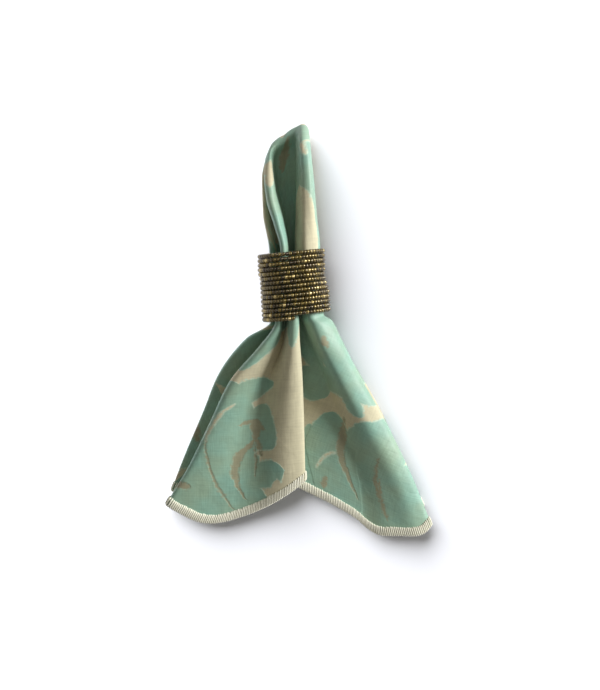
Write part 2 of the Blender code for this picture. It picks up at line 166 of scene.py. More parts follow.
# %% The panel, the trough and the pleat
# The pleat laps over to the right. It has the x where its crest starts, its edge, the heights
# above and below the edge, and its hidden turn.
MIDDLE = named_rows("panel_x panel_z trough_x trough_z rise_x edge_x crest below turn_x turn_z turn_low", [
    (-57.0, 9.0, -31.0, 8.2, -12.0, 3.2, 15.4, 11.6, -20.0, 9.6, 6.2),
    (-45.0, 9.8, -27.5, 8.2, -12.0, 2.7, 17.8, 12.4, -20.0, 9.6, 6.6),
    (-34.0, 11.2, -24.0, 9.0, -10.5, 2.0, 21.0, 13.6, -15.5, 11.4, 8.0),
    (-23.5, 14.2, -17.6, 10.6, -9.4, 1.1, 25.0, 16.6, -10.0, 13.2, 9.8),
    (-11.7, 17.6, -9.4, 12.6, -7.0, -0.3, 28.8, 20.4, -5.0, 16.8, 12.6),
    (-10.6, 14.6, -7.8, 13.2, -6.2, -0.6, 29.8, 22.8, -4.2, 17.0, 13.4),
    (-10.1, 13.6, -7.2, 13.6, -5.9, -0.7, 30.0, 23.5, -4.0, 17.2, 13.6),
    (-8.4, 16.0, -8.2, 9.6, -6.8, -5.2, 8.6, 8.6, -3.6, 8.6, 8.7),
    (-6.6, 17.6, -6.8, 11.4, -6.2, -5.2, 8.8, 8.5, -4.4, 8.5, 8.9),
    (-9.2, 16.0, -9.8, 7.6, -8.4, -6.7, 5.8, 5.6, -4.8, 5.6, 5.7),
    (-14.2, 14.0, -14.2, 6.8, -12.0, -9.4, 5.0, 4.6, -6.2, 4.4, 4.5),
    (-16.4, 12.4, -15.8, 8.0, -13.4, -10.4, 5.6, 5.0, -6.8, 4.8, 4.9),
    (-17.0, 11.8, -15.0, 10.6, -12.6, -9.6, 9.9, 9.8, -6.4, 9.8, 10.0),
    (-16.4, 8.0, -13.8, 7.0, -11.2, -8.6, 6.6, 6.6, -5.8, 6.6, 6.6),
    (-15.4, 1.8, -12.8, 1.4, -10.2, -8.0, 1.2, 1.2, -5.4, 1.2, 1.2),
    (-15.0, 0.5, -12.4, 0.5, -10.0, -7.6, 0.5, 0.5, -5.2, 0.5, 0.5),
    (-13.6, 5.8, -11.4, 4.6, -9.0, -7.0, 4.0, 3.8, -5.0, 3.6, 3.5),
    (-11.0, 6.0, -9.4, 4.9, -7.4, -5.4, 4.2, 4.0, -3.4, 3.7, 3.5),
    (-17.0, 2.6, -11.6, 2.2, -7.6, -4.6, 2.0, 3.0, -2.6, 3.4, 4.6),
    (-30.0, 0.5, -19.0, 0.5, -12.0, 2.0, 0.5, 2.4, -8.0, 2.4, 4.2),
    (-38.0, 0.5, -27.0, 0.5, -17.0, 13.0, 0.5, 2.3, -9.0, 2.3, 4.0),
    (-50.0, 0.5, -35.0, 0.5, -24.0, 19.0, 0.5, 2.9, -18.0, 2.7, 4.7),
    (-57.0, 0.5, -39.0, 0.5, -26.0, 20.0, 0.5, 3.0, -20.0, 2.8, 4.8),
])

print("pleat's edge at the hem:", MIDDLE[0].edge_x)

# %% The right side
# The valley, the roll's left flank, its crest, its shoulder, its edge with two heights, and below
# it the place where the cloth turns back and its hidden end.
ROLL = named_rows("valley_x valley_z flank_x flank_z crest_x crest_z shoulder_x shoulder_z", [
    (32.0, 7.8, 46.0, 8.8, 60.0, 11.0, 75.0, 11.4),
    (29.0, 8.4, 42.0, 10.2, 52.5, 14.2, 63.5, 15.2),
    (21.6, 8.8, 30.0, 12.6, 37.0, 18.8, 46.2, 19.0),
    (13.0, 10.4, 18.6, 15.0, 22.4, 23.0, 30.4, 23.0),
    (3.6, 12.4, 7.8, 19.0, 11.0, 28.2, 18.6, 26.8),
    (1.4, 12.5, 3.4, 19.6, 7.2, 28.6, 14.4, 26.4),
    (0.8, 12.6, 1.9, 20.0, 5.2, 28.6, 11.2, 25.8),
    (-1.4, 9.2, -1.0, 18.6, 2.8, 28.9, 8.6, 26.3),
    (-2.9, 10.2, -2.4, 18.0, 2.0, 29.0, 8.2, 26.6),
    (-1.6, 6.8, -1.5, 16.0, 1.6, 27.2, 6.6, 26.0),
    (-1.4, 5.4, -1.3, 15.0, 1.2, 24.8, 5.4, 24.2),
    (-1.8, 6.4, -1.3, 14.0, 0.8, 20.4, 4.2, 19.8),
    (-2.6, 10.4, -1.0, 11.8, 1.2, 14.6, 3.9, 14.4),
    (-3.0, 6.6, -0.6, 7.4, 1.8, 8.4, 4.0, 8.6),
    (-2.4, 1.2, 0.0, 1.2, 2.2, 1.2, 4.6, 1.6),
    (-2.4, 0.5, 0.4, 0.5, 3.0, 0.5, 5.8, 0.8),
    (-2.8, 3.5, 0.0, 4.0, 3.0, 5.0, 6.6, 7.8),
    (-1.4, 3.4, 1.6, 3.8, 4.6, 4.7, 8.6, 7.4),
    (2.0, 4.4, 6.0, 2.8, 11.0, 2.8, 16.0, 3.4),
    (8.0, 4.2, 15.0, 0.5, 21.0, 0.5, 27.0, 0.5),
    (20.0, 4.0, 28.0, 0.5, 35.0, 0.5, 42.0, 0.5),
    (26.0, 4.5, 34.0, 0.5, 44.0, 0.5, 57.0, 0.5),
    (28.0, 4.6, 37.0, 0.5, 50.0, 0.5, 66.0, 0.5),
])

RIGHT = named_rows("x high low turn_x turn_z end_x end_z", [
    (80.6, 9.8, 6.4, 42.0, 6.4, 66.0, 4.9),
    (68.4, 12.0, 7.2, 28.0, 6.5, 61.5, 5.2),
    (51.6, 15.0, 8.8, 17.0, 6.8, 46.0, 6.8),
    (35.8, 18.4, 10.6, 13.0, 8.8, 31.5, 8.8),
    (24.0, 21.4, 12.8, 9.0, 11.6, 13.0, 9.9),
    (18.8, 20.6, 15.2, 6.8, 14.4, 7.2, 10.4),
    (14.2, 20.0, 16.6, 5.0, 16.0, 4.6, 10.6),
    (11.6, 20.2, 16.4, 4.0, 15.8, 3.8, 10.4),
    (11.8, 20.4, 16.4, 3.4, 15.8, 3.2, 10.2),
    (10.0, 20.6, 13.6, 3.6, 13.4, 2.0, 10.4),
    (8.2, 19.0, 12.4, 2.6, 12.2, 1.8, 10.0),
    (6.4, 16.2, 12.0, 2.0, 11.8, 1.2, 9.8),
    (5.8, 12.6, 10.4, 2.0, 10.0, 1.0, 9.2),
    (5.4, 8.6, 8.4, 2.0, 8.2, 1.0, 8.2),
    (6.4, 3.2, 6.0, 2.4, 4.8, 1.0, 6.2),
    (7.8, 2.8, 6.6, 3.4, 4.8, 0.4, 4.2),
    (9.2, 10.2, 12.4, 2.6, 8.0, -3.0, 6.2),
    (11.4, 10.2, 12.6, 5.0, 8.0, -1.0, 6.8),
    (20.0, 5.0, 8.2, 9.0, 6.2, 8.4, 8.8),
    (34.0, 1.6, 5.0, 15.0, 3.4, 29.5, 6.4),
    (48.0, 0.6, 3.1, 28.0, 2.3, 43.0, 4.4),
    (66.0, 0.5, 2.6, 37.0, 2.1, 60.0, 3.7),
    (77.0, 0.5, 2.4, 43.0, 2.1, 62.0, 3.6),
])

print("right edge at the hem:", RIGHT[0].x)

# %% How far the sections reach
# For each point of a section, its y at the front hem, at the back hem and at the bend.
REACHES = named_rows("point front back bend", [
    ("left end", -105.0, -103.0, 93.0),
    ("left turn low", -106.0, -104.0, 94.4),
    ("left turn", -106.0, -104.0, 96.0),
    ("left under", -106.0, -102.0, 98.2),
    ("left low", -105.2, -101.0, 101.0),
    ("left edge", -105.8, -101.0, 103.5),
    ("left crest", -109.2, -104.0, 108.6),
    ("panel", -119.0, -114.0, 112.6),
    ("trough", -111.8, -107.0, 115.2),
    ("rise", -101.0, -95.0, 117.0),
    ("pleat edge", -89.6, -91.0, 118.2),
    ("pleat below", -88.4, -90.6, 119.4),
    ("turn high", -87.0, -90.2, 120.6),
    ("turn low", -86.0, -90.2, 121.4),
    ("valley", -110.4, -95.0, 122.2),
    ("flank", -124.6, -110.0, 123.2),
    ("roll crest", -124.0, -118.0, 124.4),
    ("shoulder", -124.2, -116.0, 123.4),
    ("right edge", -118.4, -112.0, 120.8),
    ("right low", -118.0, -112.0, 117.4),
    ("right turn", -119.0, -112.0, 112.0),
    ("right turn low", -119.0, -112.0, 110.4),
    ("right end", -118.0, -111.0, 109.0),
])

section_number = {place.name: number for number, place in enumerate(PLACES)}
point_number = {reach.point: number for number, reach in enumerate(REACHES)}
print(len(PLACES), "sections of", len(REACHES), "points")

# %% [markdown]
# ## From sections to a smooth sheet
#
# Two kinds of curve turn the tables into a surface. Along the cloth's length, rows run through
# every section without bulging past it. Across it, each corner of a section is rounded off, as
# cloth rounds every fold.

# %% From the tables to points in space
def turned_back(turn_x, turn_z, end_x, end_z, drop):
    """The point after a turn: straight below it, or half way to the end where nothing is folded."""
    if drop:
        return turn_x, turn_z - drop
    return (turn_x + end_x) / 2, (turn_z + end_z) / 2


def section_points(left, middle, roll, right, drop):
    """x and z of a section's control points, from the hidden left end to the hidden right end."""
    under_x = left.x + left.crest_in / 2
    spread = OPEN_SHARE if middle.turn_x > middle.edge_x else 0.0
    return [
        (left.end_x, left.end_z),
        turned_back(left.turn_x, left.turn_z, left.end_x, left.end_z, drop),
        (left.turn_x, left.turn_z),
        (under_x, left.low),
        (left.x, left.low),
        (left.x, left.top),
        (left.x + left.crest_in, left.top),
        (middle.panel_x, middle.panel_z),
        (middle.trough_x, middle.trough_z),
        (middle.rise_x, middle.crest),
        (middle.edge_x, middle.crest),
        (middle.edge_x + spread * (middle.turn_x - middle.edge_x), middle.below),
        (middle.turn_x, middle.turn_z),
        (middle.turn_x + spread * (roll.valley_x - middle.turn_x), middle.turn_low),
        (roll.valley_x, roll.valley_z),
        (roll.flank_x, roll.flank_z),
        (roll.crest_x, roll.crest_z),
        (roll.shoulder_x, roll.shoulder_z),
        (right.x, right.high),
        (right.x, right.low),
        (right.turn_x, right.turn_z),
        turned_back(right.turn_x, right.turn_z, right.end_x, right.end_z, drop),
        (right.end_x, right.end_z),
    ]


def section_row(place, points, front):
    """A section's control points in space."""
    row = []
    for (x, z), reach in zip(points, REACHES):
        foot = RING_FOOT_Y + RING_FOOT_SLOPE * x
        head = RING_HEAD_Y + RING_HEAD_SLOPE * x
        hem = reach.front if front else reach.back
        start, end = {"fan": (foot, hem), "ring": (foot, head), "plume": (head, reach.bend)}[place.zone]
        row.append((x, start + (end - start) * place.way, z))
    return row


def control_net():
    """All sections' control points: an array of section, point and x, y, z."""
    net = []
    for index, place in enumerate(PLACES):
        front = index <= section_number["bend"]
        drop = (1 if index < section_number["bend"] else -1) * TURN_GAP * place.folded
        points = section_points(LEFT[index], MIDDLE[index], ROLL[index], RIGHT[index], drop)
        net.append(section_row(place, points, front))
    return np.array(net)


print("net of sections, points and axes:", control_net().shape)


# %% The curves between the points
def smooth_between(net, steps):
    """Rows through all sections. No row bulges past the two sections it lies between."""
    gaps = np.linalg.norm(np.diff(net, axis=0), axis=2).mean(axis=1)[:, None, None]
    runs = np.diff(net, axis=0) / gaps
    before, after = gaps[:-1], gaps[1:]
    same_way = runs[:-1] * runs[1:] > 0
    first, second = np.where(same_way, runs[:-1], 1.0), np.where(same_way, runs[1:], 1.0)
    weights = (2 * after + before) / first + (after + 2 * before) / second
    inner = np.where(same_way, 3 * (before + after) / weights, 0.0)
    slopes = np.concatenate([runs[:1], inner, runs[-1:]])
    t = (np.arange(steps) / steps)[None, :, None, None]
    rows = (
        net[:-1, None] * (2 * t**3 - 3 * t**2 + 1)
        + (slopes[:-1] * gaps)[:, None] * (t**3 - 2 * t**2 + t)
        + net[1:, None] * (3 * t**2 - 2 * t**3)
        + (slopes[1:] * gaps)[:, None] * (t**3 - t**2)
    )
    return np.concatenate([rows.reshape(-1, *net.shape[1:]), net[-1:]])


def round_corners(points, steps):
    """A curve that starts and ends on the first and last point and rounds every corner between."""
    joints = (points[:-1] + points[1:]) / 2
    joints[0], joints[-1] = points[0], points[-1]
    t = (np.arange(1, steps + 1) / steps)[None, :, None]
    curve = joints[:-1, None] * (1 - t) ** 2 + points[1:-1, None] * 2 * t * (1 - t) + joints[1:, None] * t**2
    return np.concatenate([points[:1], curve.reshape(-1, 3)])


# %% [markdown]
# ## The fine sheet
#
# A woven cloth is flat before it is folded. So the sheet starts as a flat grid, and every point
# of the grid is then moved to its place on the folds. The grid's columns run the way of the
# gathers, so the creases follow them without stair steps.

# %% Lay a fine grid on the folds
ROWS_BETWEEN = 12  # rows of faces from one section to the next
COLUMNS_BETWEEN = 7  # columns for each point of a section
FIRST_AT = 0.5  # of the first column, in points

net = smooth_between(control_net(), ROWS_BETWEEN)
folds = np.array([round_corners(row, COLUMNS_BETWEEN) for row in net])
rows, columns = folds.shape[:2]
section_of = np.arange(rows)[:, None] / ROWS_BETWEEN
point_of = FIRST_AT + np.arange(columns)[None, :] / COLUMNS_BETWEEN
print("grid of", rows, "rows and", columns, "columns")


def unit(vectors):
    """The same directions with a length of one."""
    return vectors / np.maximum(np.linalg.norm(vectors, axis=-1, keepdims=True), 1e-9)


def surface_normals(grid):
    """The unit normal at each point of a grid. On the visible front it points up."""
    return unit(np.cross(np.gradient(grid, axis=1), np.gradient(grid, axis=0)))


facing = surface_normals(folds)
roll_row = section_number["front middle"] * ROWS_BETWEEN
print("normal on the roll:", facing[roll_row, point_number["roll crest"] * COLUMNS_BETWEEN].round(2))

# %% [markdown]
# ## Creases
#
# Cloth that has been drawn through a ring keeps soft creases that start at the ring and die out
# towards the hem. Each is a shallow trough or ridge on a line from one place to another, given
# by section and point of the tables. A few weak waves, the same in every run, keep the rest of
# the cloth from looking ironed.

# %% Press the creases into the sheet
CREASES = named_rows("start_section start_point end_section end_point width depth", [
    ("front foot", "panel", "front low", "panel", 0.30, -0.7),
    ("front neck", "trough", "front middle", "trough", 0.35, 0.6),
    ("front foot", "rise", "front middle", "rise", 0.25, -0.5),
    ("front foot", "roll crest", "front middle", "shoulder", 0.35, -0.3),
    ("front high", "flank", "front low", "flank", 0.40, 0.5),
    ("front head", "left crest", "plume middle", "left crest", 0.25, -0.4),
    ("front head", "shoulder", "plume high", "shoulder", 0.50, 1.3),
])
CREASE_FADE = 0.8  # below 1, so that a crease fades late
WAVE_SEED = 5
WAVE_COUNT = 14
WAVE_HIGH = 0.16  # mm
WAVES_ACROSS = (1.5, 4.5)  # slowest and fastest, in radians for each point of a section
WAVES_ALONG = (0.1, 0.5)  # in radians for each section
WAVE_START = 6.3  # radians, a little over one turn


def crease_relief():
    """How far each point of the grid moves out of the sheet, in millimetres."""
    relief = np.zeros((rows, columns))
    for crease in CREASES:
        start, end = section_number[crease.start_section], section_number[crease.end_section]
        from_point, to_point = point_number[crease.start_point], point_number[crease.end_point]
        way = np.clip((section_of - start) / (end - start), 0.0, 1.0)
        line = from_point + (to_point - from_point) * way
        fade = np.sin(math.pi * way) ** CREASE_FADE
        relief += crease.depth * fade * np.exp(-(((point_of - line) / crease.width) ** 2))
    dice = np.random.default_rng(WAVE_SEED)
    for _ in range(WAVE_COUNT):
        across, along = dice.uniform(*WAVES_ACROSS), dice.uniform(*WAVES_ALONG)
        start = dice.uniform(0, WAVE_START)
        relief += WAVE_HIGH / 2 * np.sin(across * point_of + along * section_of + start)
    return relief


# %% Fade them out where the cloth turns away or is held
BEND_FADE = 1.5  # sections
RING_HELD = 0.6  # sections on each side of the ring's middle
PLEAT_FROM = 0.5  # points before the pleat's edge
PLEAT_TO = 0.3  # points before the valley

before_bend = np.clip((section_number["bend"] - 1 - section_of) / BEND_FADE, 0.0, 1.0)
from_left = np.clip(point_of - point_number["left edge"], 0.0, 1.0)
from_right = np.clip(point_number["right edge"] - point_of, 0.0, 1.0)
from_ring = np.clip(np.abs(section_of - section_number["front ring"]) - RING_HELD, 0.0, 1.0)
in_pleat = point_of > point_number["pleat edge"] - PLEAT_FROM
in_pleat &= point_of < point_number["valley"] - PLEAT_TO
relief = crease_relief() * before_bend * from_left * from_right * from_ring * ~in_pleat
sheet_points = folds + facing * relief[:, :, None]
facing = surface_normals(sheet_points)
print("creases from", relief.min().round(2), "to", relief.max().round(2), "mm")

# %% [markdown]
# ## The flat cloth behind the folds
#
# The woven leaves lie on the flat cloth, so the pattern needs to know where each point of the
# folded sheet was before folding. Below the ring the cloth spreads like a cone, so it is
# unrolled round a point inside the ring: the distance along the cloth becomes the radius, and
# the distance across it becomes an angle. In the plume the gathers run side by side, so it is
# unrolled straight. The change from one to the other lies hidden in the ring.

# %% Unroll the sheet
APEX_BEFORE_FOOT = 42.0  # mm from the point inside the ring to the ring's foot
middle_column = int((point_number["pleat edge"] - FIRST_AT) * COLUMNS_BETWEEN)


def distance_along(points):
    """How far each point is from the first one, along the first axis of an array."""
    return np.cumsum(np.linalg.norm(np.diff(points, axis=0, prepend=points[:1]), axis=-1), axis=0)


def unroll(points):
    """Flat coordinates in millimetres of every point of the grid."""
    length = distance_along(points)
    ahead = unit(np.gradient(points, axis=0))
    across = np.diff(points, axis=1, prepend=points[:, :1])
    across = across - ahead * np.sum(across * ahead, axis=2, keepdims=True)
    step = np.linalg.norm(across, axis=2)
    flat = np.zeros((rows, columns, 2))
    foot, back_foot = (section_number[name] * ROWS_BETWEEN for name in ("front foot", "back foot"))
    for row in range(rows):
        if foot < row < back_foot:
            width = np.cumsum(step[row])
            flat[row, :, 0] = width - width[middle_column]
            flat[row, :, 1] = length[row] - length[foot] - APEX_BEFORE_FOOT
        else:
            down = 1 if row <= foot else -1
            radius = APEX_BEFORE_FOOT + down * (length[foot if down > 0 else back_foot] - length[row])
            angle = np.cumsum(step[row] / radius)
            angle = angle - angle[middle_column]
            flat[row, :, 0] = radius * np.sin(angle)
            flat[row, :, 1] = -down * radius * np.cos(angle)
    return flat


flat_cloth = unroll(sheet_points)
print("flat from", flat_cloth.min(axis=(0, 1)).round(0), "to", flat_cloth.max(axis=(0, 1)).round(0), "mm")

# %% [markdown]
# ## The sheet as a mesh
#
# Solidify gives the cloth a thickness, a little over the real one so that the hem has an edge to
# be sewn round. The map of the flat cloth is kept as a UV map in metres, so the sizes in the
# materials are real sizes.

# %% Make the sheet
SHEET_THICK = 0.85  # mm


def select_only(piece):
    bpy.ops.object.select_all(action="DESELECT")
    piece.select_set(True)
    bpy.context.view_layer.objects.active = piece


bpy.ops.mesh.primitive_grid_add(x_subdivisions=columns - 1, y_subdivisions=rows - 1, size=1.0)
napkin = bpy.context.object
napkin.name = "napkin_cloth"
napkin.data.name = "napkin_cloth"
napkin.data.vertices.foreach_set("co", in_scene(sheet_points).reshape(-1).astype(np.float32))
corners = np.empty(len(napkin.data.loops), dtype=np.int32)
napkin.data.loops.foreach_get("vertex_index", corners)
flat_corners = flat_cloth.reshape(-1, 2)[corners] * MM
layer = napkin.data.uv_layers[0]
layer.name = "flat_cloth"
layer.uv.foreach_set("vector", flat_corners.reshape(-1).astype(np.float32))
napkin.data.update()
select_only(napkin)
thickness = napkin.modifiers.new("cloth thickness", "SOLIDIFY")
thickness.thickness = SHEET_THICK * MM
thickness.offset = 0.0
bpy.ops.object.modifier_apply(modifier=thickness.name)
bpy.ops.object.shade_smooth()
print("sheet of", len(napkin.data.polygons), "faces")

# %% [markdown]
# ## The sewn hem
#
# The edge is overlocked: a cream thread wraps round the edge of the cloth again and again, so
# close that the stitches look like a comb five millimetres wide. One stitch is a thread that
# comes out of the cloth, runs to the edge, turns round it and goes back into the cloth on the
# other side. All stitches become one mesh, because a few hundred objects would only be slow.

# %% The way of a stitch
STITCH_PITCH = 1.2  # mm
STITCH_DEEP = 5.0
DEEP_SHARES = (0.95, 1.04)  # of the shortest and of the longest stitch
STITCH_LEAN = 0.08  # mm to either side
THREAD_THICK = 1.08
THICK_SHARES = (0.95, 1.05)
THREAD_PRESS = 0.08  # mm by which a thread sinks into the cloth
THREAD_LOWEST = 0.02  # mm above the surface
THREAD_SIDES = 6
HEM_SEED = 11

# Distance in from the edge as a share of the depth, and height over the middle of the cloth as a
# share of its highest
STITCH_STEPS = named_rows("inward height", [
    (1.00, 0.2),
    (0.93, 0.9),
    (0.60, 1.1),
    (0.25, 1.1),
    (0.00, 1.0),
    (-0.08, 0.55),
    (-0.10, 0.0),
    (-0.08, -0.55),
    (0.00, -1.0),
    (0.25, -1.0),
    (0.60, -1.0),
    (0.93, -0.9),
    (1.00, -0.2),
])


def between(way, values, at):
    """Points or directions at some lengths of a way, between the given ones."""
    return np.stack([np.interp(at, way, values[:, axis]) for axis in range(3)], axis=-1)


def sew(points, normals, dice):
    """Threads round the first row of a grid: rings of points and how light each thread is."""
    hem_length = distance_along(points[0])
    inward = distance_along(points)
    share_in = np.array([step.inward for step in STITCH_STEPS])[:, None]
    high = np.array([step.height for step in STITCH_STEPS])[:, None]
    high = high * ((SHEET_THICK + THREAD_THICK) / 2 - THREAD_PRESS)
    turn = 2 * math.pi * np.arange(THREAD_SIDES)[:, None] / THREAD_SIDES
    rings, tones = [], []
    for stitch in range(int(hem_length[-1] / STITCH_PITCH)):
        at = np.interp((stitch + 0.5) * STITCH_PITCH, hem_length, np.arange(columns))
        reach = share_in * STITCH_DEEP * dice.uniform(*DEEP_SHARES)
        lean = dice.uniform(-STITCH_LEAN, STITCH_LEAN)
        left = min(int(at), columns - 2)
        part = at - left
        column, out, far = (
            grid[:, left] * (1 - part) + grid[:, left + 1] * part for grid in (points, normals, inward)
        )
        side = unit(points[0, left + 1] - points[0, left])
        inside = np.maximum(reach[:, 0], 0.0)
        path = between(far, column, inside) + unit(column[0] - column[1]) * np.maximum(-reach, 0.0)
        path = path + between(far, out, inside) * high + side * lean * share_in
        outward = np.cross(unit(np.gradient(path, axis=0)), side)
        thick = THREAD_THICK / 2 * dice.uniform(*THICK_SHARES)
        rings.append(path[:, None] + thick * (np.cos(turn) * side + np.sin(turn) * outward[:, None]))
        tones.append(dice.uniform())
    return np.array(rings), np.array(tones)


# %% Sew the hem on both layers
def tube_faces(steps, sides):
    """The faces of a tube that is closed at both ends, ring after ring."""
    faces = []
    for start in range(0, (steps - 1) * sides, sides):
        for side in range(sides):
            here, after = start + side, start + (side + 1) % sides
            faces.append((here, after, after + sides, here + sides))
    last = (steps - 1) * sides
    return faces + [tuple(range(sides - 1, -1, -1)), tuple(range(last, last + sides))]


def copies_as_one(name, copies, faces, tones):
    """One mesh of many copies that share their faces. Each copy's tone is stored with it."""
    size = copies.shape[1]
    every_face = []
    for start in range(0, len(copies) * size, size):
        every_face += [tuple(corner + start for corner in face) for face in faces]
    mesh = bpy.data.meshes.new(name)
    mesh.from_pydata(in_scene(copies.reshape(-1, 3)).tolist(), [], every_face)
    tone = mesh.attributes.new("tone", "FLOAT", "POINT")
    tone.data.foreach_set("value", np.repeat(tones, size).astype(np.float32))
    piece = bpy.data.objects.new(name, mesh)
    bpy.context.scene.collection.objects.link(piece)
    select_only(piece)
    print(name, "of", len(copies), "copies and", len(every_face), "faces")
    return piece


dice = np.random.default_rng(HEM_SEED)
front_rings, front_tones = sew(sheet_points, facing, dice)
back_rings, back_tones = sew(sheet_points[::-1], facing[::-1], dice)
rings = np.concatenate([front_rings, back_rings])
rings[..., 2] = np.maximum(rings[..., 2], THREAD_LOWEST)
threads = rings.reshape(len(rings), -1, 3)
thread_faces = tube_faces(len(STITCH_STEPS), THREAD_SIDES)
stitches = copies_as_one("hem_stitches", threads, thread_faces, np.concatenate([front_tones, back_tones]))
bpy.ops.object.shade_smooth()

# %% [markdown]
# ## The ring of beads
#
# The ring is one long wire, strung with seed beads and wound in a coil that has slipped a little
# out of true. A seed bead is cut from a thin glass tube and tumbled hot, so it is a short
# cylinder with rounded ends. One bead is modelled and then copied along the coil's own line.

# %% The line of the coil
COIL_TURNS = 14.5
COIL_PITCH = 2.66
STRAND_THICK = 2.34  # of the solid coil, whose sides give the beads' line
BEAD_THICK = 2.66  # as much as the pitch, so that the rows touch
COIL_HIGH = 34.4
COIL_MIDDLE_Y = 29.3
COIL_SLOPE = 0.128  # how much further along y a turn is for each mm to the right
COIL_END = 0.25  # of a turn, where the foot end lies: on top
FINE_STEPS = 6000
SIDES = named_rows("turn left right", [
    (0.0, -24.8, 15.0),
    (4.0, -24.8, 15.2),
    (5.0, -23.7, 15.2),
    (6.5, -23.4, 15.2),
    (8.0, -23.2, 16.2),
    (9.5, -23.0, 17.8),
    (12.0, -22.7, 18.3),
    (14.5, -22.2, 18.5),
])


def coil_points(turns_at):
    """Points on the wire. Turn 0 is the head end and COIL_TURNS the foot end."""
    angle = 2 * math.pi * (COIL_END + COIL_TURNS - turns_at)
    marks = [side.turn for side in SIDES]
    left = np.interp(turns_at, marks, [side.left for side in SIDES])
    right = np.interp(turns_at, marks, [side.right for side in SIDES])
    across = (right - left - STRAND_THICK) / 2 * np.cos(angle)
    x = (left + right) / 2 + across
    y = COIL_MIDDLE_Y + (COIL_TURNS / 2 - turns_at) * COIL_PITCH + across * COIL_SLOPE
    z = COIL_HIGH / 2 + (COIL_HIGH - BEAD_THICK) / 2 * np.sin(angle)
    return np.stack([x, y, z], axis=1)


fine_turns = np.linspace(0.0, COIL_TURNS, FINE_STEPS)
fine_length = distance_along(coil_points(fine_turns))
print("wire of", round(fine_length[-1]), "mm in the coil")

# %% Model one seed bead
BEAD_LONG = 1.98
BEAD_SIDES = 12
BEAD_ROUND = 0.5  # how far the ends are rounded
END_ANGLE = 60.0  # degrees: only the edges of the ends are sharper than this

bpy.ops.mesh.primitive_cylinder_add(
    vertices=BEAD_SIDES, radius=BEAD_THICK / 2, depth=BEAD_LONG, end_fill_type="NGON"
)
bead = bpy.context.object
rounding = bead.modifiers.new("rounded ends", "BEVEL")
rounding.width = BEAD_ROUND
rounding.segments = 2
rounding.limit_method = "ANGLE"
rounding.angle_limit = math.radians(END_ANGLE)
bpy.ops.object.modifier_apply(modifier=rounding.name)
bead_points = np.array([vertex.co[:] for vertex in bead.data.vertices])
bead_faces = [tuple(face.vertices) for face in bead.data.polygons]
bpy.data.objects.remove(bead)
print("one bead:", len(bead_points), "points and", len(bead_faces), "faces")

# %% String the beads along the coil
BEAD_PITCH = 2.05
BEAD_SEED = 3
BEAD_SHIFT = 0.04  # mm to either side along the wire
BEAD_TILT = 0.08  # as a slope
BEAD_SIZES = (0.94, 1.0)
TURN_STEP = 0.002  # of a turn, to find the wire's direction
SHARP_ANGLE = 50.0  # degrees from which an edge stays sharp

bead_count = int(fine_length[-1] / BEAD_PITCH)
dice = np.random.default_rng(BEAD_SEED)
bead_at = (np.arange(bead_count) + 0.5) * BEAD_PITCH + dice.uniform(-BEAD_SHIFT, BEAD_SHIFT, bead_count)
bead_turns = np.interp(bead_at, fine_length, fine_turns)
bead_ways = unit(coil_points(bead_turns + TURN_STEP) - coil_points(bead_turns - TURN_STEP))
bead_ways = unit(bead_ways + dice.normal(0, BEAD_TILT, bead_ways.shape))
first_sides = unit(np.cross((0.0, 1.0, 0.0), bead_ways))
bead_axes = np.stack([first_sides, np.cross(bead_ways, first_sides), bead_ways], axis=1)
bead_sizes = dice.uniform(*BEAD_SIZES, bead_count)[:, None, None]
strung = coil_points(bead_turns)[:, None] + bead_sizes * (bead_points @ bead_axes)
beads = copies_as_one("bead_ring", strung, bead_faces, dice.uniform(0, 1, bead_count))
bpy.ops.object.shade_smooth_by_angle(angle=math.radians(SHARP_ANGLE))

# %% The wire inside the beads
WIRE_THICK = 0.45
WIRE_STEPS = 24  # points in each turn

wire_curve = bpy.data.curves.new("bead_wire", "CURVE")
wire_curve.dimensions = "3D"
wire_curve.bevel_depth = WIRE_THICK / 2 * MM
wire_curve.bevel_resolution = 1
wire_curve.use_fill_caps = True
wire_line = coil_points(np.linspace(0.0, COIL_TURNS, int(COIL_TURNS * WIRE_STEPS)))
spline = wire_curve.splines.new("POLY")
spline.points.add(len(wire_line) - 1)
for point, place in zip(spline.points, in_scene(wire_line)):
    point.co = (*place, 1.0)
wire = bpy.data.objects.new("bead_wire", wire_curve)
bpy.context.scene.collection.objects.link(wire)
select_only(wire)
bpy.ops.object.convert(target="MESH")
wire = bpy.context.object
bpy.ops.object.shade_smooth()
print("wire of", len(wire.data.polygons), "faces")

# %% [markdown]
# ## Finishes
#
# All colours are written as the sRGB values that a colour picker shows and turned linear by one
# function, because Blender's shaders count light and not screen values. A second function adds
# any node, so that a material reads as a list of what feeds what.

# %% Colours and nodes
def colour(code):
    """A shader colour from an sRGB hex code."""
    parts = [int(code[i : i + 2], 16) / 255 for i in (1, 3, 5)]
    linear = [part / 12.92 if part <= 0.04045 else ((part + 0.055) / 1.055) ** 2.4 for part in parts]
    return (*linear, 1.0)


def new_material(name):
    material = bpy.data.materials.new(name)
    material.use_nodes = True
    return material, material.node_tree, material.node_tree.nodes["Principled BSDF"]


def set_inputs(node, inputs):
    """Feed a node's inputs, by name or number, with values, sockets or the results of nodes."""
    for name, value in inputs.items():
        if isinstance(value, bpy.types.Node):
            value = next(socket for socket in value.outputs if socket.enabled)
        if isinstance(value, bpy.types.NodeSocket):
            node.id_data.links.new(value, node.inputs[name])
        else:
            node.inputs[name].default_value = value


def add_node(tree, kind, inputs, **settings):
    """A new shader node with its settings and inputs."""
    node = tree.nodes.new("ShaderNode" + kind)
    for name, value in settings.items():
        setattr(node, name, value)
    set_inputs(node, inputs)
    return node
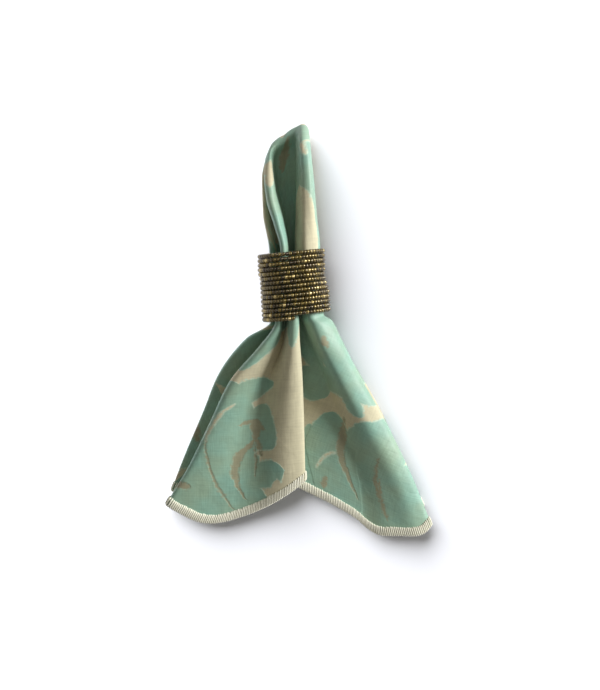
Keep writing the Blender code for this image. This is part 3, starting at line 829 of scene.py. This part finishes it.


# %% [markdown]
# ## The woven leaves
#
# Damask shows its pattern by its weave: the leaves are satin, where long threads float over the cloth, and
# the ground is a dull rib. The pattern is a scroll of lobed leaves in the old way. An image of it would be
# one more file and would blur close by, so it is charted as a short table instead: each leaf runs from a
# root to a tip, has an arc and a width, and may be fatter at one end. Two more tables have rows of the same
# kind. Gaps are narrow leaves of bare ground that part the lobes. Veins are strokes of a third yarn, drawn
# darker than the ground partly as painted shade; in the right panel they are ground with its shade in the
# fold and the trough painted in. One group of nodes turns a row into a shape, and its sums are a table too,
# one node a row.

# %% One leaf as a node group
CLAMPED = "way"  # this result is kept from 0 to 1, so a leaf ends at its root and its tip
LEAF_SUMS = named_rows("result node operation feeds", [
    ("axis", "VectorMath", "SUBTRACT", {0: "tip", 1: "root"}),
    ("from root", "VectorMath", "SUBTRACT", {0: "place", 1: "root"}),
    ("on axis", "VectorMath", "DOT_PRODUCT", {0: "from root", 1: "axis"}),
    ("long", "VectorMath", "DOT_PRODUCT", {0: "axis", 1: "axis"}),
    ("way", "Math", "DIVIDE", {0: "on axis", 1: "long"}),
    ("rest", "Math", "SUBTRACT", {0: 1.0, 1: "way"}),
    ("swell", "Math", "MULTIPLY", {0: "way", 1: "rest"}),
    ("straight", "VectorMath", "SCALE", {0: "axis", 3: "way"}),
    ("aside", "VectorMath", "CROSS_PRODUCT", {0: "axis", 1: (0.0, 0.0, 1.0)}),
    ("arc", "Math", "MULTIPLY", {0: "swell", 1: "bend"}),
    ("bent", "VectorMath", "SCALE", {0: "aside", 3: "arc"}),
    ("spine", "VectorMath", "ADD", {0: "straight", 1: "bent"}),
    ("off spine", "VectorMath", "DISTANCE", {0: "from root", 1: "spine"}),
    ("round", "Math", "SQRT", {0: "swell"}),
    ("wide", "Math", "MULTIPLY_ADD", {0: "way", 1: "widening", 2: "root width"}),
    ("rim", "Math", "MULTIPLY", {0: "round", 1: "wide"}),
    ("inside", "Math", "SUBTRACT", {0: "rim", 1: "off spine"}),
    ("joined", "Math", "MAXIMUM", {0: "inside", 1: "leaves so far"}),
])
LEAF_SOCKETS = {
    "leaves so far": "NodeSocketFloat",
    "place": "NodeSocketVector",
    "root": "NodeSocketVector",
    "tip": "NodeSocketVector",
    "bend": "NodeSocketFloat",
    "root width": "NodeSocketFloat",
    "widening": "NodeSocketFloat",
}

woven_leaf = bpy.data.node_groups.new("woven leaf", "ShaderNodeTree")
for name, kind in LEAF_SOCKETS.items():
    woven_leaf.interface.new_socket(name, in_out="INPUT", socket_type=kind)
woven_leaf.interface.new_socket("joined", in_out="OUTPUT", socket_type="NodeSocketFloat")
known = {socket.name: socket for socket in woven_leaf.nodes.new("NodeGroupInput").outputs}
for row in LEAF_SUMS:
    feeds = {slot: known.get(feed, feed) for slot, feed in row.feeds.items()}
    known[row.result] = add_node(woven_leaf, row.node, feeds, operation=row.operation)
    if row.result == CLAMPED:
        known[row.result].use_clamp = True
set_inputs(woven_leaf.nodes.new("NodeGroupOutput"), {0: known["joined"]})
print("leaf group of", len(woven_leaf.nodes), "nodes")

# %% The chart of leaves, gaps and veins, in millimetres of flat cloth
LEAF_NAMES = "root_u root_v tip_u tip_v bend half_width fat_end"
REPEAT_FROM = (-92.0, -168.0, -1.0)
REPEAT_TO = (140.0, 76.0, 1.0)
LEAVES = named_rows(LEAF_NAMES, [
    # the large leaf of the left panel, then its lobes from the top down
    (-48.0, -74.0, -70.0, -215.0, 0.02, 34.0, 0.1),
    (-46.0, -94.0, -18.0, -79.0, -0.16, 8.5, -0.3),
    (-27.0, -92.0, -20.0, -121.5, 0.1, 11.0, 0.1),
    (-38.0, -143.0, -10.5, -134.0, -0.08, 8.8, 0.2),
    (-52.0, -150.0, -20.0, -158.0, 0.0, 13.0, 0.0),
    # the right panel's large leaf and those that follow down to the corner
    (84.0, -172.0, 58.0, -84.0, 0.04, 17.0, 0.1),
    (74.0, -146.0, 112.0, -66.0, -0.06, 20.0, 0.0),
    (60.0, -176.0, 170.0, -96.0, 0.0, 36.0, 0.1),
    (76.0, -84.0, 118.0, -70.0, 0.0, 7.0, 0.3),
    (50.0, -95.0, 62.0, -150.0, 0.0, 8.0, 0.0),
    # the roll and the deep fold right of the ridge
    (34.0, -26.0, 118.0, -46.0, 0.06, 24.0, -0.1),
    (54.0, -56.0, 86.0, -62.0, 0.0, 10.0, 0.0),
    (29.0, -66.0, 52.0, -76.0, 0.05, 9.0, 0.1),
    (30.0, -36.0, 54.0, -60.0, 0.0, 6.0, 0.0),
    (60.0, -56.0, 78.0, -77.0, 0.1, 5.0, 0.2),
    (56.0, -46.0, 86.0, -61.0, 0.0, 6.0, 0.0),
    (30.0, -70.0, 92.0, -54.0, 0.0, 9.0, 0.0),
    (8.0, -34.0, 44.0, -64.0, 0.0, 9.0, 0.0),
    # the neck's left side and the cap of the middle ridge
    (-16.0, -30.0, -42.0, -67.0, 0.10, 9.0, 0.0),
    (-4.0, -22.0, -3.0, -58.0, 0.0, 6.0, -0.3),
    # inside the ring, and the plume up to its hood
    (-80.0, 6.0, 80.0, 6.0, 0.0, 52.0, 0.0),
    (-70.0, 56.0, 70.0, 56.0, 0.0, 34.0, 0.0),
])
GAPS = named_rows(LEAF_NAMES, [
    # ground between the left panel's lobes, and up through the ring
    (-15.0, -140.0, -16.0, -175.0, 0.0, 4.5, -0.3),
    (-30.0, -122.5, -6.0, -121.5, 0.04, 2.2, 0.1),
    (21.0, -22.0, 24.0, 36.0, 0.0, 11.0, 0.15),
    # fine strokes of ground in both panels and in the plume
    (-44.0, -90.0, -61.0, -113.0, 0.1, 0.6, -0.3),
    (60.0, -121.0, 71.0, -106.0, -0.12, 0.6, 0.2),
    (24.0, 65.0, 28.0, 53.0, 0.1, 0.8, 0.3),
    # ground at the plume's left edge and by the ridge's foot
    (-14.0, 57.0, -21.0, 39.0, -0.05, 2.4, 0.0),
    (-19.5, 56.0, -19.5, 96.0, 0.0, 2.4, 0.0),
    (-23.0, -190.0, -24.0, -151.0, 0.0, 7.0, 0.0),
])
VEINS_AND_SHADE_STROKES = named_rows(LEAF_NAMES, [
    # the scroll between the lobes: hook, body, long branch, short branch and its line
    (-40.5, -104.5, -24.0, -108.0, -0.18, 1.9, 0.3),
    (-29.8, -101.0, -29.5, -118.0, 0.0, 3.4, -0.6),
    (-29.5, -114.5, -35.0, -152.0, 0.29, 2.5, -0.5),
    (-29.0, -113.0, -25.5, -124.5, 0.0, 1.9, 0.4),
    (-30.5, -117.0, -29.5, -138.0, 0.0, 0.7, 0.0),
    (-61.0, -112.0, -43.0, -158.0, 0.1, 0.8, 0.0),
    (-82.0, -139.0, -69.0, -144.0, 0.0, 2.6, 0.0),
    # the strokes of the right panel: beige ground in the fold and the trough, with its shade painted in as
    # taupe
    (68.0, -83.0, 90.0, -132.0, 0.06, 2.2, -0.5),
    (66.5, -124.0, 64.5, -133.5, 0.0, 1.9, 0.2),
    (97.0, -97.0, 107.0, -127.0, 0.04, 1.3, 0.1),
    (103.0, -110.0, 112.0, -138.0, 0.04, 1.1, 0.1),
    (39.5, -37.0, 43.5, -44.5, 0.05, 1.8, 0.2),
    # the plume
    (1.0, 53.0, 2.5, 70.0, 0.0, 3.2, 0.0),
])
print(len(LEAVES), "leaves,", len(GAPS), "gaps and", len(VEINS_AND_SHADE_STROKES), "veins_and_shade_strokes")

# %% [markdown]
# ## Damask cloth
#
# The napkin is jacquard damask of cotton: a satin leaf with a slight gloss on a matt ribbed
# ground, both yarn-dyed. Its threads lie a third of a millimetre apart, too fine for this
# picture, so they are drawn three times as coarse. A yarn is now thicker, now thinner, which
# gives the cloth its soft streaks in both directions. At the leaf's edge the satin threads end
# one by one, so the edge is a little ragged.

# %% Where the leaves are on the cloth
WANDER = 3.0  # mm by which a hand-drawn leaf wanders
WANDER_SCALE = 0.12  # this and the other scales of noise are in waves for each mm of cloth
RAGGED = 2.2  # mm of ragged edge
RAGGED_SCALE = 0.55
LEAF_SOFT = 0.6  # mm over which a leaf's colour fades into the ground
VEIN_AND_SHADE_SOFT = 1.0
NO_LEAF = -1000.0  # mm inside a leaf, as the start of a table

cloth, tree, shader = new_material("cotton damask")
flat_map = add_node(tree, "UVMap", {}, uv_map="flat_cloth")
flat_mm = add_node(tree, "VectorMath", {0: flat_map, 3: 1000.0}, operation="SCALE")
wander = add_node(tree, "TexNoise", {"Vector": flat_mm, "Scale": WANDER_SCALE, "Detail": 1.0})
centred = {0: wander.outputs["Color"], 1: (0.5, 0.5, 0.5)}
wander_off = add_node(tree, "VectorMath", centred, operation="SUBTRACT")
wandered = {0: wander_off, 1: (WANDER, WANDER, 0.0), 2: flat_mm}
moved = add_node(tree, "VectorMath", wandered, operation="MULTIPLY_ADD")
chart_at = add_node(tree, "VectorMath", {0: moved, 1: REPEAT_TO, 2: REPEAT_FROM}, operation="WRAP")


def chart(table):
    """How far inside a table's leaves a place on the cloth is, after each of its rows."""
    so_far = NO_LEAF
    joined = []
    for row in table:
        inputs = {
            "leaves so far": so_far,
            "place": chart_at,
            "root": (row.root_u, row.root_v, 0.0),
            "tip": (row.tip_u, row.tip_v, 0.0),
            "bend": 4 * row.bend,
            "root width": 2 * row.half_width * (1 - row.fat_end),
            "widening": 4 * row.half_width * row.fat_end,
        }
        so_far = add_node(tree, "Group", inputs, node_tree=woven_leaf)
        joined.append(so_far)
    return joined


leaves, gaps, veins_and_shade_strokes = chart(LEAVES), chart(GAPS), chart(VEINS_AND_SHADE_STROKES)
outside_gaps = add_node(tree, "Math", {0: gaps[-1], 1: -1.0}, operation="MULTIPLY")
charted = add_node(tree, "Math", {0: leaves[-1], 1: outside_gaps}, operation="MINIMUM")
ragged = add_node(tree, "TexNoise", {"Vector": flat_mm, "Scale": RAGGED_SCALE, "Detail": 3.0})
ragged_in = add_node(tree, "MapRange", {"Value": ragged, "To Min": -RAGGED, "To Max": RAGGED})
shares = []
for inside, soft in ((charted, LEAF_SOFT), (veins_and_shade_strokes[-1], VEIN_AND_SHADE_SOFT)):
    edge = add_node(tree, "Math", {0: inside, 1: ragged_in}, operation="ADD")
    fade = {"Value": edge, "From Min": -soft, "From Max": soft}
    shares.append(add_node(tree, "MapRange", fade, interpolation_type="SMOOTHSTEP"))
leaf_share, vein_and_shade_share = shares
print("leaves of", len(tree.nodes), "nodes")

# %% Dyed yarns
LEAF_GREEN = "#98B49B"
LEAF_TEAL = "#8AB2A0"
GROUND_BEIGE = "#CCC5A6"
# The veins' taupe is darker than the ground partly as painted shade
VEIN_TAUPE_AND_SHADE = "#9C9A7E"
LEAF_EDGE_HIGHLIGHT = "#CBD8C0"
DYE_SCALE = 0.045  # of the slow change between the two greens
CLOUD_SCALE = 0.09  # of the lighter and darker clouds in the cloth
THREAD_PITCH = 1.0  # mm, three times as coarse as the real one
STREAK_LONG = 12.0
EDGE_HIGHLIGHT_WIDE = 1.3  # mm of painted highlight inside a leaf's raised edge
EDGE_HIGHLIGHT_STRONG = 1.4

along, across = 1 / STREAK_LONG, 1 / THREAD_PITCH
yarns = []
for scale in ((across, along, 1.0), (along, across, 1.0)):
    stretched = add_node(tree, "Mapping", {"Vector": flat_mm, "Scale": scale})
    yarns.append(add_node(tree, "TexNoise", {"Vector": stretched, "Scale": 1.0, "Detail": 2.0}))
threads = add_node(tree, "Math", {0: yarns[0], 1: yarns[1]}, operation="ADD")
dye_drift = add_node(tree, "TexNoise", {"Vector": flat_mm, "Scale": DYE_SCALE, "Detail": 2.0})
dye_share = add_node(tree, "MapRange", {"Value": dye_drift, "From Min": 0.35, "From Max": 0.65})
# A pale band inside each leaf's edge is a painted highlight, where the raised satin edge catches the light;
# ragged noise breaks it up
edge_highlight_fade = {"Value": charted, "From Min": EDGE_HIGHLIGHT_WIDE, "From Max": 0.0, "To Max": EDGE_HIGHLIGHT_STRONG}
rim = add_node(tree, "MapRange", edge_highlight_fade, interpolation_type="SMOOTHSTEP")
edge_highlight_broken = add_node(tree, "Math", {0: rim, 1: ragged}, operation="MULTIPLY")
edge_highlight_share = add_node(tree, "Math", {0: edge_highlight_broken, 1: leaf_share}, operation="MULTIPLY")
# Inputs 0, 6 and 7 of a Mix node are its share and its two colours
tint = add_node(tree, "Mix", {0: dye_share, 6: colour(LEAF_GREEN), 7: colour(LEAF_TEAL)}, data_type="RGBA")
tint = add_node(tree, "Mix", {0: leaf_share, 6: colour(GROUND_BEIGE), 7: tint}, data_type="RGBA")
tint = add_node(tree, "Mix", {0: vein_and_shade_share, 6: tint, 7: colour(VEIN_TAUPE_AND_SHADE)}, data_type="RGBA")
tint = add_node(tree, "Mix", {0: edge_highlight_share, 6: tint, 7: colour(LEAF_EDGE_HIGHLIGHT)}, data_type="RGBA")
soft_clouds = {"Vector": flat_mm, "Scale": CLOUD_SCALE, "Detail": 5.0, "Roughness": 0.62}
clouds = add_node(tree, "TexNoise", soft_clouds)
yarn_range = {"Value": threads, "From Min": 0.6, "From Max": 1.4, "To Min": 0.9, "To Max": 1.1}
yarn_tone = add_node(tree, "MapRange", yarn_range)
cloud_tone = add_node(tree, "MapRange", {"Value": clouds, "To Min": 0.8, "To Max": 1.2})
tone = add_node(tree, "Math", {0: yarn_tone, 1: cloud_tone}, operation="MULTIPLY")
dyed = add_node(tree, "Mix", {0: 1.0, 6: tint, 7: tone}, data_type="RGBA", blend_type="MULTIPLY")
print("dyed yarns:", len(tree.nodes), "nodes")

# %% Gloss and relief of the damask
GROUND_ROUGH = 0.8
LEAF_ROUGH = 0.5
YARN_DEEP = 0.1  # mm
LEAF_STEP = 2.0  # how far a leaf stands over the ground, in yarns
LEAF_SLOPE = 0.6  # mm over which it rises
RAISED_LEAVES = 6  # rows of the tables, from the first, that also stand out as relief
SUNK_VEINS = 8
RUMPLE_HIGH = 4.0  # in yarns
RUMPLE_SCALE = 0.11

gloss = add_node(tree, "MapRange", {"Value": leaf_share, "To Min": GROUND_ROUGH, "To Max": LEAF_ROUGH})
raised = threads
for inside, step in ((leaves[RAISED_LEAVES - 1], LEAF_STEP), (veins_and_shade_strokes[SUNK_VEINS - 1], -LEAF_STEP)):
    rise = {"Value": inside, "From Min": -LEAF_SLOPE, "From Max": LEAF_SLOPE}
    slope = add_node(tree, "MapRange", rise, interpolation_type="SMOOTHSTEP")
    raised = add_node(tree, "Math", {0: slope, 1: step, 2: raised}, operation="MULTIPLY_ADD")
rumpled = {"Vector": flat_mm, "Scale": RUMPLE_SCALE, "Detail": 2.0, "Distortion": 0.6}
rumples = add_node(tree, "TexNoise", rumpled)
raised = add_node(tree, "Math", {0: rumples, 1: RUMPLE_HIGH, 2: raised}, operation="MULTIPLY_ADD")
bump = add_node(tree, "Bump", {"Height": raised, "Strength": 0.7, "Distance": YARN_DEEP * MM})
set_inputs(shader, {"Base Color": dyed, "Roughness": gloss, "Normal": bump})
set_inputs(shader, {"Sheen Weight": 0.2, "Sheen Roughness": 0.4})
napkin.data.materials.append(cloth)
print("damask of", len(tree.nodes), "nodes")

# %% [markdown]
# ## Overlock thread
#
# The hem's thread is spun polyester, two strands twisted together. It is creamier and brighter
# than the cloth, dull, and each stitch has its own tone, by the attribute that was stored with it.

# %% Cream overlock thread
THREAD_CREAM = "#FBF9E8"
THREAD_SHADE = "#DEDBC4"
FUZZ_SCALE = 1600.0  # waves for each metre
FUZZ_HIGH = 0.1  # mm
TONE_SHARE = 0.3  # how much a stitch's own tone counts, beside the fuzz
FUZZ_SHARE = 0.8

thread, tree, shader = new_material("spun polyester thread")
own_tone = add_node(tree, "Attribute", {}, attribute_name="tone").outputs["Fac"]
place = add_node(tree, "TexCoord", {}).outputs["Object"]
fuzz = add_node(tree, "TexNoise", {"Vector": place, "Scale": FUZZ_SCALE, "Detail": 2.0})
fuzz_tone = add_node(tree, "MapRange", {"Value": fuzz, "To Min": 0.0, "To Max": FUZZ_SHARE})
mixed = add_node(tree, "Math", {0: own_tone, 1: TONE_SHARE, 2: fuzz_tone}, operation="MULTIPLY_ADD")
dyed = add_node(tree, "Mix", {0: mixed, 6: colour(THREAD_SHADE), 7: colour(THREAD_CREAM)}, data_type="RGBA")
bump = add_node(tree, "Bump", {"Height": fuzz, "Strength": 0.4, "Distance": FUZZ_HIGH * MM})
set_inputs(shader, {"Base Color": dyed, "Normal": bump, "Roughness": 0.8, "Sheen Weight": 0.3})
stitches.data.materials.append(thread)
print("thread of", len(tree.nodes), "nodes")

# %% [markdown]
# ## Silver-lined glass beads
#
# Each seed bead is brown glass with a silvered hole. Light goes through the glass to the silver
# and comes back gold, so the bead looks like polished metal with a clear hard skin. A metal
# under a clear coat gives that with far less noise than real glass. No two beads are silvered
# alike, so the tone that was stored with each bead moves it from dark bronze to pale gold.

# %% Silver-lined beads and their wire
BEAD_DARK = "#3C3016"
BEAD_BRONZE = "#7C6A34"
BEAD_GOLD = "#C6B074"
BRONZE_AT = 0.88  # the tone that is bronze: few beads are as pale as gold
WIRE_BRASS = "#7A6434"

glass, tree, shader = new_material("silver-lined glass")
own_tone = add_node(tree, "Attribute", {}, attribute_name="tone").outputs["Fac"]
lining = add_node(tree, "ValToRGB", {"Fac": own_tone})
lining.color_ramp.elements[0].color = colour(BEAD_DARK)
lining.color_ramp.elements[1].color = colour(BEAD_GOLD)
lining.color_ramp.elements.new(BRONZE_AT).color = colour(BEAD_BRONZE)
set_inputs(shader, {"Base Color": lining, "Metallic": 0.85, "Roughness": 0.3})
set_inputs(shader, {"Coat Weight": 0.7, "Coat Roughness": 0.1, "Coat IOR": 1.6})
beads.data.materials.append(glass)

brass, tree, shader = new_material("drawn brass wire")
set_inputs(shader, {"Base Color": colour(WIRE_BRASS), "Metallic": 1.0, "Roughness": 0.4})
wire.data.materials.append(brass)
print("bead tones:", [round(stop.position, 2) for stop in lining.color_ramp.elements])

# %% [markdown]
# ## Floor and light
#
# The object was photographed on white with a soft shadow below it and to its right, while the
# folds are lit from the right. So there are two broad lights, each as if far away: a low one
# from the right that lights only the pieces and models their folds, and one from beyond the
# plume that lights only the floor. A third, faint and high, makes the beads glint. A weak, warm
# and even light fills the shadows.

# %% The floor
PAPER_WHITE = "#F1F3FA"

bpy.ops.mesh.primitive_plane_add(size=4.0)
floor = bpy.context.object
floor.name = "floor"
paper, tree, shader = new_material("white paper")
set_inputs(shader, {"Base Color": colour(PAPER_WHITE), "Roughness": 0.9})
floor.data.materials.append(paper)

# %% The lights
EVEN_LIGHT = 0.235
EVEN_COLOUR = (1.0, 0.965, 0.89, 1.0)  # already linear

# Azimuth from the right, elevation and spread in degrees
LAMPS = named_rows("name azimuth elevation spread strength", [
    ("key", 22.0, 22.0, 24.0, 4.3),
    ("back", 121.0, 32.0, 58.0, 6.0),
    ("glint", 140.0, 66.0, 40.0, 1.0),
])

scene = bpy.context.scene
world = scene.world or bpy.data.worlds.new("studio")
scene.world = world
world.use_nodes = True
set_inputs(world.node_tree.nodes["Background"], {"Color": EVEN_COLOUR, "Strength": EVEN_LIGHT})
scene.view_settings.view_transform = "Standard"

pieces = [napkin, stitches, beads, wire]
for lamp, lit in zip(LAMPS, (pieces, [floor], [beads, wire])):
    bpy.ops.object.light_add(type="SUN", location=(0.0, 0.0, 1.0))
    light = bpy.context.object
    light.name = lamp.name
    light.data.energy = lamp.strength
    light.data.angle = math.radians(lamp.spread)
    light.rotation_euler = (0.0, math.radians(90.0 - lamp.elevation), math.radians(lamp.azimuth))
    receivers = bpy.data.collections.new(lamp.name + " receivers")
    for piece in lit:
        receivers.objects.link(piece)
    light.light_linking.receiver_collection = receivers

# %% [markdown]
# ## Hand the pieces to the frame
#
# Each new piece is attached to the root body, and the solids that the napkin and the ring stand in for are
# hidden.

# %% Attach the pieces and hide the solids they stand in for
for piece in pieces:
    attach(piece, "root")
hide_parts("napkin")
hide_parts("bead_coil")
